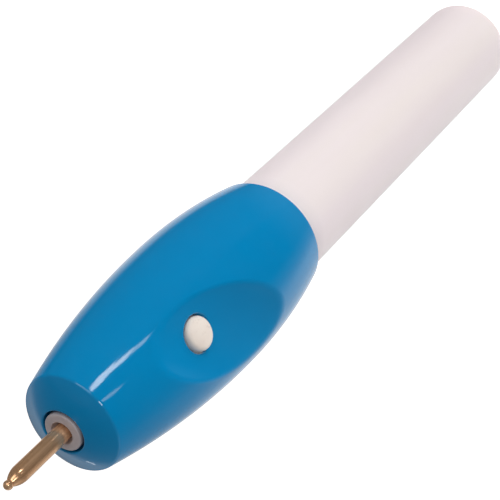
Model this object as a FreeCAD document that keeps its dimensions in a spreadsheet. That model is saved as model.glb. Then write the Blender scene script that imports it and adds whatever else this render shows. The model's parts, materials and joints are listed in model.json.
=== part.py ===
"""Battery engraving pen, built as a parametric FreeCAD document (millimetres).

Frame: the pen stands on its flat tail. The origin is the centre of the tail
face, +Z runs along the pen to the bit, and the push button faces -Y.
"""
import FreeCAD, Part
import math
import os
from FreeCAD import Vector as V

doc = FreeCAD.newDocument("engraving_pen")

# ------------------------------------------------------------------ sheet
sheet = doc.addObject("Spreadsheet::Sheet", "Dims")
D = {}
_row = [0]


def cell(alias, value):
    _row[0] += 1
    ref = "A%d" % _row[0]
    sheet.set("B%d" % _row[0], alias)
    sheet.set(ref, repr(float(value)))
    sheet.setAlias(ref, alias)
    D[alias] = float(value)


for alias, value in [
    # battery tube
    ("tube_od", 21.0), ("tube_id", 18.4), ("tube_len", 109.0), ("tube_floor", 1.6),
    ("tube_edge", 0.8), ("rib_in", 15.2), ("rib_wide", 1.4), ("spigot_rad", 10.2),
    # grip barrel
    ("grip_rear", 97.1), ("grip_belly_z", 119.5), ("grip_belly_rad", 14.2),
    ("grip_arc_rear", 112.0), ("grip_arc_front", 153.0), ("grip_nose", 158.5),
    ("grip_rim_fillet", 0.7), ("grip_nose_fillet", 0.8), ("dome_rad", 16.4),
    ("socket_rad", 10.26), ("socket_end", 109.6), ("bore_rad", 9.2), ("bulk_rad", 10.2),
    ("bulk_end", 111.6), ("bore_end", 141.0), ("throat_rad", 6.4), ("throat_end", 156.4),
    ("nose_hole_rad", 3.95),
    # finger scoop: a cylindrical groove laid diagonally
    ("scoop_z", 131.0), ("scoop_depth", 3.1), ("scoop_cut_rad", 22.0),
    ("scoop_azimuth", 259.5), ("scoop_turn", 45.0), ("scoop_lean", 3.9),
    # push button
    ("button_z", 134.9), ("button_rad", 3.0), ("button_top", 12.0), ("button_gap", 0.35),
    ("button_fillet", 0.9), ("flange_rad", 3.9), ("flange_top", 9.5), ("flange_thick", 0.6),
    ("plunger_rad", 1.2), ("plunger_tip", 8.65), ("button_travel", 0.8),
    ("pocket_half", 4.6), ("pocket_top", 9.6), ("pocket_low", 117.5), ("pocket_high", 140.6),
    # motor
    ("can_rad", 7.75), ("can_flat", 6.0), ("can_wall", 0.5), ("can_low", 116.5),
    ("can_high", 134.5), ("cap_low", 114.3), ("cap_spigot", 118.3), ("boss_rad", 3.0),
    ("boss_len", 1.6), ("shaft_rad", 1.0), ("shaft_low", 113.7), ("shaft_high", 150.5),
    ("run_gap", 0.04), ("leaf_bend_z", 123.5),
    # chuck and bit
    ("chuck_low", 146.0), ("chuck_step", 154.6), ("chuck_rad", 3.5), ("chuck_body_rad", 4.9),
    ("chuck_front", 161.0), ("bit_rad", 1.5), ("bit_bore_rad", 1.54), ("bit_seat", 151.0),
    ("chuck_mouth_rad", 2.0), ("chuck_mouth_deep", 0.8),
    ("ogive_low", 171.4), ("ogive_high", 174.0), ("neck_rad", 0.57), ("ball_rad", 0.8),
    ("ball_z", 174.5),
    # cells and contacts
    ("cell_rad", 7.15), ("cell_len", 49.5), ("nub_rad", 2.7), ("nub_len", 1.0),
    ("cell_low", 6.5), ("spring_rad", 5.2), ("spring_wire", 0.4), ("plate_thick", 0.3),
]:
    cell(alias, value)
doc.recompute()

made = []


def ex(text):
    """Turn bare aliases in an expression into references to the sheet."""
    out, word = "", ""
    for ch in text + " ":
        if ch.isalnum() or ch == "_":
            word += ch
        else:
            out += ("Dims." + word if word in D else word) + ch
            word = ""
    return out.strip()


FUNCS = {"sqrt": math.sqrt, "cos": lambda a: math.cos(math.radians(a)), "sin": lambda a: math.sin(math.radians(a))}


def val(text):
    """Value of an arithmetic expression of aliases: + - * / ( ) and numbers."""
    toks, word = [], ""
    for ch in text + " ":
        if ch.isalnum() or ch in "_.":
            word += ch
        else:
            if word:
                toks.append(word)
                word = ""
            if ch in "+-*/()":
                toks.append(ch)
    pos = [0]

    def peek():
        return toks[pos[0]] if pos[0] < len(toks) else None

    def take():
        pos[0] += 1
        return toks[pos[0] - 1]

    def atom():
        k = take()
        if k == "-":
            return -atom()
        if k == "(":
            v = add()
            take()
            return v
        if k in FUNCS:
            take()
            v = add()
            take()
            return FUNCS[k](v)
        return D[k] if k in D else float(k)

    def mul():
        v = atom()
        while peek() in ("*", "/"):
            v = v * atom() if take() == "*" else v / atom()
        return v

    def add():
        v = mul()
        while peek() in ("+", "-"):
            v = v + mul() if take() == "+" else v - mul()
        return v

    return add()


# --------------------------------------------------------------- helpers
def plane(body, role):
    return [f for f in body.Origin.OriginFeatures if f.Role == role][0]


def new_body(name):
    b = doc.addObject("PartDesign::Body", name)
    b.Label = name
    return b


def sketch(body, role, name):
    s = body.newObject("Sketcher::SketchObject", name)
    s.AttachmentSupport = [(plane(body, role), "")]
    s.MapMode = "FlatFace"
    return s


def pin_point(s, geo, end, xe, ye):
    """Fix a sketch point by two expressions of the sheet."""
    import Sketcher
    for kind, e in (("DistanceX", xe), ("DistanceY", ye)):
        if e is None:
            continue
        v = val(e)
        if abs(v) < 1e-9:
            s.addConstraint(Sketcher.Constraint("PointOnObject", geo, end, -2 if kind == "DistanceX" else -1))
        else:
            i = s.addConstraint(Sketcher.Constraint(kind, -1, 1, geo, end, v))
            s.setExpression("Constraints[%d]" % i, ex(e))


def outline(s, pts):
    """Closed outline. pts: (x, y) expressions; (x, y, 'arc', radius, cx, cy)
    makes the edge that follows the point an arc round (cx, cy)."""
    import Sketcher
    n = len(pts)
    ends = []
    xy = [(val(p[0]), val(p[1])) for p in pts]
    for i, p in enumerate(pts):
        a, b = xy[i], xy[(i + 1) % n]
        if len(p) > 2:
            rad, cx, cy = val(p[3]), val(p[4]), val(p[5])
            t0, t1 = math.atan2(a[1] - cy, a[0] - cx), math.atan2(b[1] - cy, b[0] - cx)
            circ = Part.Circle(V(cx, cy, 0), V(0, 0, 1), rad)
            dt = (t1 - t0 + math.pi) % (2 * math.pi) - math.pi
            if dt > 0:
                g = s.addGeometry(Part.ArcOfCircle(circ, t0, t0 + dt), False)
                ends.append((g, 1, 2))
            else:
                g = s.addGeometry(Part.ArcOfCircle(circ, t0 + dt, t0), False)
                ends.append((g, 2, 1))
        else:
            g = s.addGeometry(Part.LineSegment(V(a[0], a[1], 0), V(b[0], b[1], 0)), False)
            ends.append((g, 1, 2))
    for i, p in enumerate(pts):
        g0, _, e0 = ends[i - 1]
        g1, s1, _ = ends[i]
        s.addConstraint(Sketcher.Constraint("Coincident", g0, e0, g1, s1))
    for i, p in enumerate(pts):
        g1, s1, _ = ends[i]
        if len(p) > 2:
            pin_point(s, g1, 3, p[4], p[5])
        if len(pts[i - 1]) == 2:
            pin_point(s, g1, s1, p[0], p[1])
        elif abs(xy[i][0]) < 1e-9:
            pin_point(s, g1, s1, p[0], None)
        else:
            pin_point(s, g1, s1, None, p[1])


def revolve(name, pts, keep=None):
    b = keep or new_body(name)
    s = sketch(b, "XZ_Plane", name + "_profile")
    outline(s, pts)
    r = b.newObject("PartDesign::Revolution", name + "_revolve")
    r.Profile = s
    r.ReferenceAxis = (s, ["V_Axis"])
    r.Angle = 360.0
    doc.recompute()
    return b


def edges_where(shape, test):
    out = []
    for i, e in enumerate(shape.Edges):
        if test(e):
            out.append("Edge%d" % (i + 1))
    return out


def is_ring(e, rad=None, z=None, tol=0.02):
    c = e.Curve
    if not isinstance(c, Part.Circle):
        return False
    if rad is not None and abs(c.Radius - rad) > tol:
        return False
    return z is None or abs(c.Center.z - z) < tol


def fillet(body, test, size, name, kind="Fillet"):
    names = edges_where(body.Shape, test)
    if not names:
        raise RuntimeError("no edge for " + name)
    f = body.newObject("PartDesign::" + kind, name)
    f.Base = (body.Tip if body.Tip is not f else f.BaseFeature, names)
    if kind == "Fillet":
        f.setExpression("Radius", ex(size))
    else:
        f.setExpression("Size", ex(size))
    doc.recompute()
    return f


def cyl(name, rad, low, high, x="0", y="0"):
    c = doc.addObject("Part::Cylinder", name)
    c.setExpression("Radius", ex(rad))
    c.setExpression("Height", ex("(%s)-(%s)" % (high, low)))
    for ax, e in (("x", x), ("y", y), ("z", low)):
        c.setExpression("Placement.Base." + ax, ex(e))
    return c


def cyl_y(name, rad, y_in, y_out, x, z):
    """Cylinder along -Y from y=-y_in out to y=-y_out."""
    c = doc.addObject("Part::Cylinder", name)
    c.setExpression("Radius", ex(rad))
    c.setExpression("Height", ex("(%s)-(%s)" % (y_out, y_in)))
    c.Placement = FreeCAD.Placement(V(0, 0, 0), FreeCAD.Rotation(V(1, 0, 0), 90))
    for ax, e in (("x", x), ("y", "-(%s)" % y_in), ("z", z)):
        c.setExpression("Placement.Base." + ax, ex(e))
    return c


def box(name, x0, x1, y0, y1, z0, z1):
    b = doc.addObject("Part::Box", name)
    for prop, lo, hi in (("Length", x0, x1), ("Width", y0, y1), ("Height", z0, z1)):
        b.setExpression(prop, ex("(%s)-(%s)" % (hi, lo)))
    for ax, e in (("x", x0), ("y", y0), ("z", z0)):
        b.setExpression("Placement.Base." + ax, ex(e))
    return b


def cut(name, base, *tools):
    out = base
    for i, tool in enumerate(tools):
        c = doc.addObject("Part::Cut", name if i == len(tools) - 1 else "%s_cut%d" % (name, i))
        c.Base, c.Tool = out, tool
        out = c
    return out


def fuse(name, *shapes):
    f = doc.addObject("Part::MultiFuse", name)
    f.Shapes = list(shapes)
    return f


def common(name, a, b):
    f = doc.addObject("Part::MultiCommon", name)
    f.Shapes = [a, b]
    return f


def group(name, *shapes):
    c = doc.addObject("Part::Compound", name)
    c.Links = list(shapes)
    return c


def keep(obj, name):
    obj.Label = name
    made.append((name, obj))
    return obj


def fixed(name, shape):
    """A plain feature whose shape is worked out here from the sheet's values."""
    f = doc.addObject("Part::Feature", name)
    f.Shape = shape
    f.Placement = FreeCAD.Placement()
    return keep(f, name)


def g(alias):
    return float(sheet.get(alias))


# ================================================================ grip shell
rz, bz, br = "grip_rear", "grip_belly_z", "grip_belly_rad"
rear_r = "grip_belly_rad-grip_arc_rear+sqrt(grip_arc_rear*grip_arc_rear-(grip_belly_z-grip_rear)*(grip_belly_z-grip_rear))"
nose_r = "grip_belly_rad-grip_arc_front+sqrt(grip_arc_front*grip_arc_front-(grip_nose-grip_belly_z)*(grip_nose-grip_belly_z))"
dome_z = "(grip_nose-sqrt(dome_rad*dome_rad-(" + nose_r + ")*(" + nose_r + ")))"
shell = revolve("grip_shell", [
    ("socket_rad", "grip_rear"),
    (rear_r, "grip_rear", "arc", "grip_arc_rear", "grip_belly_rad-grip_arc_rear", "grip_belly_z"),
    ("grip_belly_rad", "grip_belly_z", "arc", "grip_arc_front", "grip_belly_rad-grip_arc_front", "grip_belly_z"),
    (nose_r, "grip_nose", "arc", "dome_rad", "0", dome_z),
    ("nose_hole_rad", dome_z + "+sqrt(dome_rad*dome_rad-nose_hole_rad*nose_hole_rad)"),
    ("nose_hole_rad", "throat_end"),
    ("throat_rad", "throat_end"),
    ("bore_rad", "bore_end"),
    ("bore_rad", "bulk_end"),
    ("bulk_rad", "bulk_end"),
    ("bulk_rad", "socket_end"),
    ("socket_rad", "socket_end"),
])
vol0 = shell.Shape.Volume

# button hole through the wall, cut along -Y
s = sketch(shell, "XZ_Plane", "button_hole_sketch")
import Sketcher
s.addGeometry(Part.Circle(V(0, g("button_z"), 0), V(0, 0, 1), g("button_rad") + g("button_gap")), False)
s.addConstraint(Sketcher.Constraint("PointOnObject", 0, 3, -2))
i = s.addConstraint(Sketcher.Constraint("DistanceY", -1, 1, 0, 3, g("button_z")))
s.setExpression("Constraints[%d]" % i, ex("button_z"))
i = s.addConstraint(Sketcher.Constraint("Radius", 0, g("button_rad") + g("button_gap")))
s.setExpression("Constraints[%d]" % i, ex("button_rad+button_gap"))
hole = shell.newObject("PartDesign::Pocket", "button_hole")
hole.Profile = s
hole.Type = 0
hole.setExpression("Length", ex("grip_belly_rad+1"))
hole.Reversed = True
doc.recompute()
probe = V(0, -(g("pocket_top") + 1.0), g("button_z"))
if shell.Shape.isInside(probe, 1e-4, True) or abs(shell.Shape.Volume - vol0) < 1:
    hole.Reversed = False
    doc.recompute()
if shell.Shape.isInside(probe, 1e-4, True):
    raise RuntimeError("button hole cuts the wrong way")

# flat-roofed pocket inside the wall for the switch
s = sketch(shell, "XZ_Plane", "switch_pocket_sketch")
outline(s, [("-pocket_half", "pocket_low"), ("pocket_half", "pocket_low"),
            ("pocket_half", "pocket_high"), ("-pocket_half", "pocket_high")])
pocket = shell.newObject("PartDesign::Pocket", "switch_pocket")
pocket.Profile = s
pocket.Type = 0
pocket.setExpression("Length", ex("pocket_top"))
pocket.Reversed = hole.Reversed
doc.recompute()

fillet(shell, lambda e: is_ring(e, z=g("grip_nose")) and e.Curve.Radius > 6, "grip_nose_fillet", "nose_edge")
fillet(shell, lambda e: is_ring(e, z=g("grip_rear")) and e.Curve.Radius > 11, "grip_rim_fillet", "rear_rim")

# finger scoop: a large cylinder laid across the wall at an angle
scoop = doc.addObject("Part::Cylinder", "scoop_tool")
scoop.setExpression("Radius", ex("scoop_cut_rad"))
scoop.Height = 120.0


def barrel(z):
    arc = g("grip_arc_front") if z > g("grip_belly_z") else g("grip_arc_rear")
    return g("grip_belly_rad") - arc + math.sqrt(arc * arc - (z - g("grip_belly_z")) ** 2)


az = math.radians(g("scoop_azimuth"))
e_r = V(math.cos(az), math.sin(az), 0)
e_t = V(-math.sin(az), math.cos(az), 0)
e_z = V(0, 0, 1)
ln = math.radians(g("scoop_lean"))
nrm = e_r * math.cos(ln) + e_z * math.sin(ln)
up = e_z * math.cos(ln) - e_r * math.sin(ln)
tw = math.radians(g("scoop_turn"))
axis = up * math.cos(tw) + e_t * math.sin(tw)
centre = e_r * (barrel(g("scoop_z")) - g("scoop_depth")) + e_z * g("scoop_z") + nrm * g("scoop_cut_rad")
scoop.Placement = FreeCAD.Placement(centre - axis * 60.0, FreeCAD.Rotation(V(0, 0, 1), axis))
grip = cut("grip_shell_scooped", shell, scoop)
shell.Label = "grip_barrel"
doc.recompute()
keep(grip, "grip_shell")

# ================================================================ button
btn = new_body("button_body")
s = sketch(btn, "XZ_Plane", "button_cap_sketch")


def disc(s, rad_e, zc="button_z"):
    k = s.addGeometry(Part.Circle(V(0, val(zc), 0), V(0, 0, 1), val(rad_e)), False)
    s.addConstraint(Sketcher.Constraint("PointOnObject", k, 3, -2))
    i = s.addConstraint(Sketcher.Constraint("DistanceY", -1, 1, k, 3, val(zc)))
    s.setExpression("Constraints[%d]" % i, ex(zc))
    i = s.addConstraint(Sketcher.Constraint("Radius", k, val(rad_e)))
    s.setExpression("Constraints[%d]" % i, ex(rad_e))


disc(s, "button_rad")
pad = btn.newObject("PartDesign::Pad", "button_cap")
pad.Profile = s
pad.setExpression("Length", ex("button_top"))
doc.recompute()
if btn.Shape.BoundBox.YMax > 1:
    pad.Reversed = True
    doc.recompute()
fillet(btn, lambda e: isinstance(e.Curve, Part.Circle) and abs(e.Curve.Center.y + g("button_top")) < 0.01,
       "button_fillet", "button_edge")
cap_keep = box("button_keep", "-6", "6", "-button_top-1", "-flange_top", "button_z-6", "button_z+6")
cap = common("button_head", btn, cap_keep)
flange = cyl_y("button_flange", "flange_rad", "flange_top-flange_thick", "flange_top", "0", "button_z")
plunger = cyl_y("button_plunger", "plunger_rad", "plunger_tip", "flange_top-flange_thick", "0", "button_z")
keep(fuse("push_button_solid", cap, flange, plunger), "push_button")

# ================================================================ bulkhead and front contacts
bulk = cyl("bulk_disc", "bulk_rad-0.05", "socket_end", "bulk_end")
bulk_hole = cyl("bulk_centre_hole", "1.0", "socket_end-1", "bulk_end+1")
bulk_pass = cyl("bulk_wire_hole", "0.8", "socket_end-1", "bulk_end+1", "-4.9", "-6.9")
keep(cut("bulk_solid", bulk, bulk_hole, bulk_pass), "bulkhead")
pc_disc = cyl("pc_disc", "3.2", "socket_end-plate_thick", "socket_end")
pc_dome = cyl("pc_dome", "2.0", "cell_low+2*cell_len+2*nub_len", "socket_end-plate_thick")
pc_hole = cyl("pc_hole", "1.0", "socket_end-plate_thick/2", "socket_end+1")
keep(cut("pc_solid", fuse("pc_fuse", pc_disc, pc_dome), cyl("pc_bore", "1.0", "socket_end-plate_thick", "socket_end+1")),
     "positive_contact")
rv_stem = cyl("rv_stem", "1.0", "socket_end-plate_thick", "bulk_end")
rv_head = cyl("rv_head", "1.6", "bulk_end", "bulk_end+0.4")
keep(fuse("rv_solid", rv_stem, rv_head), "positive_rivet")
nr_out = cyl("nr_out", "9.1", "socket_end-0.3", "socket_end")
nr_in = cyl("nr_in", "7.5", "socket_end-1", "socket_end+1")
nr_tab = cyl("nr_tab", "0.75", "socket_end-0.3", "bulk_end+0.2", "-4.9", "-6.9")
keep(fuse("nr_solid", cut("nr_ring", nr_out, nr_in), nr_tab), "negative_contact_ring")

# ================================================================ motor, fixed parts
def flatted(name, rad, flat, low, high):
    c = cyl(name + "_round", rad, low, high)
    b = box(name + "_flats", "-12", "12", "-(%s)" % flat, flat, "(%s)-1" % low, "(%s)+1" % high)
    return common(name, c, b)


can_out = flatted("can_out", "can_rad", "can_flat", "can_low", "can_high")
can_boss = cyl("can_boss", "boss_rad", "can_high-0.5", "can_high+boss_len")
can_in = flatted("can_in", "can_rad-can_wall", "can_flat-can_wall", "can_low-2", "can_high-can_wall")
can_boss_hole = cyl("can_boss_hole", "2.4", "can_high-1", "can_high+boss_len+1")
keep(cut("can_solid", fuse("can_fuse", can_out, can_boss), can_in, can_boss_hole), "motor_can")
cap_out = flatted("cap_out", "can_rad", "can_flat", "cap_low", "can_low")
cap_in = flatted("cap_in", "can_rad-can_wall-0.03", "can_flat-can_wall-0.03", "can_low", "cap_spigot")
cap_room = cyl("cap_room", "5.3", "can_low-0.4", "cap_spigot+1")
cap_hole = cyl("cap_hole", "2.0", "cap_low-1", "can_low+1")
slot_a = box("slot_a", "5.6", "6.4", "-1.1", "1.1", "cap_low-1", "cap_spigot+1")
slot_b = box("slot_b", "-6.4", "-5.6", "-1.1", "1.1", "cap_low-1", "cap_spigot+1")
keep(cut("cap_solid", fuse("cap_fuse", cap_out, cap_in), cap_room, cap_hole, slot_a, slot_b), "motor_end_cap")
keep(cut("fb_solid", cyl("fb_out", "2.4", "can_high-0.2", "can_high+boss_len"),
         cyl("fb_in", "shaft_rad+run_gap", "can_high-1", "can_high+boss_len+1")), "motor_front_bushing")
keep(cut("rb_solid", cyl("rb_out", "2.0", "cap_low+0.2", "can_low-0.4"),
         cyl("rb_in", "shaft_rad+run_gap", "cap_low-1", "can_low+1")), "motor_rear_bushing")


def magnet(name, sign):
    ring = cut(name + "_ring", cyl(name + "_out", "can_rad-can_wall-0.02", "can_low+2.6", "can_high-2.6"),
               cyl(name + "_in", "5.6", "can_low+1", "can_high-1"))
    x0, x1 = ("1.8", "9") if sign > 0 else ("-9", "-1.8")
    return common(name, ring, box(name + "_box", x0, x1, "-(can_flat-can_wall-0.02)", "can_flat-can_wall-0.02",
                                  "can_low", "can_high"))


keep(group("magnet_pair", magnet("magnet_a", 1), magnet("magnet_b", -1)), "motor_magnets")


def brush(name, sign):
    x0, x1 = ("2.15", "2.45") if sign > 0 else ("-2.45", "-2.15")
    a = box(name + "_blade", x0, x1, "-3.2", "0.9", "can_low-0.1", "can_low+1.3")
    x2, x3 = ("2.45", "4.15") if sign > 0 else ("-4.15", "-2.45")
    b = box(name + "_arm", x2, x3, "-3.2", "-2.9", "can_low-0.1", "can_low+1.3")
    return fuse(name, a, b)


keep(group("brush_pair", brush("brush_a", 1), brush("brush_b", -1)), "motor_brushes")
keep(group("terminal_pair", box("term_a", "5.8", "6.2", "-0.9", "0.9", "cap_low-1.6", "can_low+0.6"),
           box("term_b", "-6.2", "-5.8", "-0.9", "0.9", "cap_low-1.6", "can_low+0.6")), "motor_terminals")

# rubber ring that centres the rear of the motor, and the plastic mount at its front
d_cut = box("d_cut", "-12", "12", "-12", "-5.95", "cap_low-2", "can_high+8")
cush = cut("cushion_ring", cyl("cushion_out", "bore_rad-0.02", "cap_low+0.3", "can_low+3.2"),
           flatted("cushion_in", "can_rad", "can_flat", "cap_low-1", "can_low+5"))
keep(cut("cushion_solid", cush, d_cut), "motor_cushion")
fm = cut("front_mount_ring", cyl("fm_out", "bore_rad-0.02", "can_high", "can_high+2.6"),
         cyl("fm_in", "boss_rad+0.02", "can_high-1", "can_high+4"))
fm_holes = [cyl_y("fm_hole_a", "0.55", "3.0", "7", "4.2", "can_high+1.3"),
            cyl_y("fm_hole_b", "0.55", "3.0", "7", "-4.2", "can_high+1.3")]
keep(cut("front_mount_solid", fm, d_cut, *fm_holes), "motor_front_mount")

# ================================================================ switch
base_slab = box("base_slab", "-4.4", "4.4", "-6.8", "-6.0", "119", "can_high+2.6")
base_block = box("base_block", "-2.4", "2.4", "-8.3", "-6.8", "119", "123.5")
base_wide = box("base_wide", "-6.0", "6.0", "-6.8", "-6.0", "can_high", "can_high+2.6")
base_slot = box("base_slot", "-1.3", "1.3", "-7.1", "-6.8", "118", "124")
sb_holes = [cyl_y("sb_hole_a", "0.62", "5", "8", "4.2", "can_high+1.3"),
            cyl_y("sb_hole_b", "0.62", "5", "8", "-4.2", "can_high+1.3"),
            cyl_y("sb_rivet_hole", "0.6", "7.1", "9", "0", "121.25")]
keep(cut("switch_base_solid", fuse("switch_base_fuse", base_slab, base_block, base_wide), base_slot, *sb_holes),
     "switch_base")
fc_strip = box("fc_strip", "-1.3", "1.3", "-7.05", "-6.8", "118.2", "can_high+2.4")
fc_dot = cyl_y("fc_dot", "1.1", "7.05", "7.15", "0", "can_high+1.0")
keep(fuse("fc_solid", fc_strip, fc_dot), "switch_fixed_contact")
leaf_root = box("leaf_root", "-1.8", "1.8", "-8.55", "-8.3", "118.6", "leaf_bend_z-0.05")
leaf_hole = cyl_y("leaf_hole", "0.6", "8", "9", "0", "121.25")
keep(cut("leaf_anchor_solid", leaf_root, leaf_hole), "leaf_anchor")
leaf_strip = box("leaf_strip", "-1.8", "1.8", "-8.55", "-8.3", "leaf_bend_z+0.05", "can_high+2.4")
leaf_dot = cyl_y("leaf_dot", "0.9", "8.1", "8.3", "0", "can_high+1.0")
keep(fuse("leaf_solid", leaf_strip, leaf_dot), "switch_leaf")
keep(fuse("leaf_rivet_solid", cyl_y("lr_stem", "0.6", "7.1", "8.6", "0", "121.25"),
          cyl_y("lr_head", "1.1", "8.6", "8.9", "0", "121.25")), "leaf_rivet")


def small_screw(name, x):
    shank = cyl_y(name + "_shank", "0.55", "3.0", "6.8", x, "can_high+1.3")
    head = cyl_y(name + "_head", "1.0", "6.8", "7.5", x, "can_high+1.3")
    slot_v = box(name + "_slot_v", "%s-0.15" % x, "%s+0.15" % x, "-8", "-7.2", "can_high+0.6", "can_high+2.0")
    slot_h = box(name + "_slot_h", "%s-0.7" % x, "%s+0.7" % x, "-8", "-7.2", "can_high+1.15", "can_high+1.45")
    return cut(name, fuse(name + "_f", shank, head), slot_v, slot_h)


keep(group("screw_pair", small_screw("screw_a", "4.2"), small_screw("screw_b", "-4.2")), "switch_screws")


# ================================================================ leads
def lead(name, pts, rad=0.5, bend=1.2):
    """Round wire along straight runs joined by tangent arcs."""
    P = [V(*p) for p in pts]
    edges, start = [], P[0]
    for i in range(1, len(P) - 1):
        a, b = P[i - 1] - P[i], P[i + 1] - P[i]
        la, lb = a.Length, b.Length
        a.normalize()
        b.normalize()
        ang = a.getAngle(b)
        turn = math.pi - ang
        if turn < 1e-3:
            continue
        r = min(bend, 0.45 * min(la, lb) / math.tan(turn / 2))
        d = r * math.tan(turn / 2)
        p0, p1 = P[i] + a * d, P[i] + b * d
        bis = a + b
        bis.normalize()
        mid = P[i] + bis * (r / math.cos(turn / 2) - r)
        edges.append(Part.LineSegment(start, p0).toShape())
        edges.append(Part.Arc(p0, mid, p1).toShape())
        start = p1
    edges.append(Part.LineSegment(start, P[-1]).toShape())
    wire = Part.Wire(edges)
    d0 = P[1] - P[0]
    ring = Part.Wire(Part.Circle(P[0], d0, rad).toShape())
    tube = wire.makePipeShell([ring], True, False)
    want = math.pi * rad * rad * wire.Length
    if not tube.isValid() or abs(tube.Volume - want) > 0.03 * want:
        raise RuntimeError("lead %s is not a clean tube" % name)
    return fixed(name, tube)


zc, zt = g("bulk_end"), g("cap_low")
lead("lead_positive", [(-0.8, 0, zc + 0.9), (-3.4, 0.0, zc + 0.9), (-5.75, 0.0, zc + 1.6)])
lead("lead_negative", [(-4.9, -6.9, zc + 0.2), (-4.9, -6.9, 115.4), (-4.4, -6.95, 118.45), (-1.35, -6.95, 118.45)])
lead("lead_switch", [(6.0, -0.95, 113.3), (6.0, -3.0, 113.3), (4.9, -6.6, 113.3), (3.4, -7.6, 115.6),
                     (1.2, -8.4, 117.3), (1.2, -8.4, 118.55)])

# ================================================================ rotor
keep(cyl("motor_shaft_solid", "shaft_rad", "shaft_low", "shaft_high"), "motor_shaft")


def core_shape():
    """Three-pole laminated core: hub, three arms and three curved shoes."""
    low, high = g("can_low") + 3.4, g("can_high") - 3.4
    hub = Part.makeCylinder(2.1, high - low, V(0, 0, low))
    parts = [hub]
    for k in range(3):
        a = 120.0 * k + 90.0
        arm = Part.makeBox(4.0, 1.7, high - low, V(1.2, -0.85, low))
        shoe = Part.makeCylinder(5.2, high - low, V(0, 0, low), V(0, 0, 1), 96)
        shoe = shoe.cut(Part.makeCylinder(4.3, high - low + 2, V(0, 0, low - 1)))
        shoe.rotate(V(0, 0, 0), V(0, 0, 1), -48)
        p = arm.fuse(shoe)
        p.rotate(V(0, 0, 0), V(0, 0, 1), a)
        parts.append(p)
    body = parts[0].multiFuse(parts[1:]).removeSplitter()
    return body.cut(Part.makeCylinder(g("shaft_rad"), high - low + 2, V(0, 0, low - 1)))


fixed("armature_core", core_shape())


def winding_shape():
    """Copper coils wound round each arm, as three rounded blocks."""
    low, high = g("can_low") + 2.7, g("can_high") - 2.7
    out = []
    for k in range(3):
        blk = Part.makeBox(2.25, 4.0, high - low, V(2.15, -2.0, low))
        blk = blk.makeFillet(0.6, [e for e in blk.Edges if abs(e.BoundBox.XLength) > 2.0])
        clear = Part.makeBox(4.0, 1.7, high - low - 1.4, V(1.2, -0.85, low + 0.7))
        blk = blk.cut(clear)
        blk.rotate(V(0, 0, 0), V(0, 0, 1), 120.0 * k + 90.0)
        blk = blk.cut(Part.makeCylinder(2.1, high - low + 2, V(0, 0, low - 1)))
        blk = blk.common(Part.makeCylinder(4.25, high - low + 2, V(0, 0, low - 1)))
        out.append(blk)
    return Part.makeCompound(out)


fixed("armature_windings", winding_shape())
keep(cut("commutator_solid", cyl("com_out", "2.1", "can_low-0.1", "can_low+2.3"),
         cyl("com_in", "shaft_rad", "can_low-1", "can_low+3")), "commutator")
chuck = revolve("chuck_revolve", [
    ("shaft_rad", "chuck_low"),
    ("chuck_body_rad-0.5", "chuck_low"),
    ("chuck_body_rad", "chuck_low+0.5"),
    ("chuck_body_rad", "chuck_step-1.2"),
    ("chuck_rad", "chuck_step"),
    ("chuck_rad", "chuck_front-0.35"),
    ("chuck_rad-0.3", "chuck_front"),
    ("chuck_mouth_rad", "chuck_front+0.12"),
    ("bit_bore_rad", "chuck_front-chuck_mouth_deep"),
    ("bit_bore_rad", "shaft_high+0.3"),
    ("shaft_rad", "shaft_high+0.3"),
])
keep(chuck, "chuck")

# ================================================================ bit
bit = revolve("bit_revolve", [
    ("0", "bit_seat"),
    ("bit_rad-0.2", "bit_seat"),
    ("bit_rad", "bit_seat+0.2"),
    ("bit_rad", "ogive_low", "arc", "4.6", "bit_rad-4.6", "ogive_low"),
    ("bit_rad-4.6+sqrt(4.6*4.6-(ogive_high-0.35-ogive_low)*(ogive_high-0.35-ogive_low))", "ogive_high-0.35"),
    ("neck_rad", "ogive_high-0.1"),
    ("neck_rad", "ball_z-sqrt(ball_rad*ball_rad-neck_rad*neck_rad)", "arc", "ball_rad", "0", "ball_z"),
    ("0", "ball_z+ball_rad"),
])
keep(bit, "engraving_bit")

# ================================================================ battery tube
tube = revolve("tube_revolve", [
    ("0", "0"),
    ("tube_od/2", "0"),
    ("tube_od/2", "grip_rear"),
    ("spigot_rad", "grip_rear"),
    ("spigot_rad", "tube_len"),
    ("tube_id/2", "tube_len"),
    ("tube_id/2", "tube_floor"),
    ("0", "tube_floor"),
])
fillet(tube, lambda e: is_ring(e, g("tube_od") / 2, 0), "tube_edge", "tail_edge")
fillet(tube, lambda e: is_ring(e, g("spigot_rad"), g("tube_len")), "0.3", "front_lead_in", "Chamfer")
ribs = []
for k, ang in enumerate((45, 135, 225, 315)):
    rb = box("rib_%d" % k, "rib_in/2", "tube_id/2+0.3", "-rib_wide/2", "rib_wide/2", "tube_floor-0.2", "tube_len-1.5")
    rb.Placement = FreeCAD.Placement(V(0, 0, 0), FreeCAD.Rotation(V(0, 0, 1), ang))
    c, sn = math.cos(math.radians(ang)), math.sin(math.radians(ang))
    # the box corner sits at (rib_in/2, -rib_wide/2) turned by the rib's angle
    rb.setExpression("Placement.Base.x", ex("rib_in/2*(%.9f)+rib_wide/2*(%.9f)" % (c, sn)))
    rb.setExpression("Placement.Base.y", ex("rib_in/2*(%.9f)-rib_wide/2*(%.9f)" % (sn, c)))
    rb.setExpression("Placement.Base.z", ex("tube_floor-0.2"))
    ribs.append(rb)
keep(fuse("tube_ribbed", tube, *ribs), "battery_tube")
tube.Label = "tube_plain"


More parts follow.
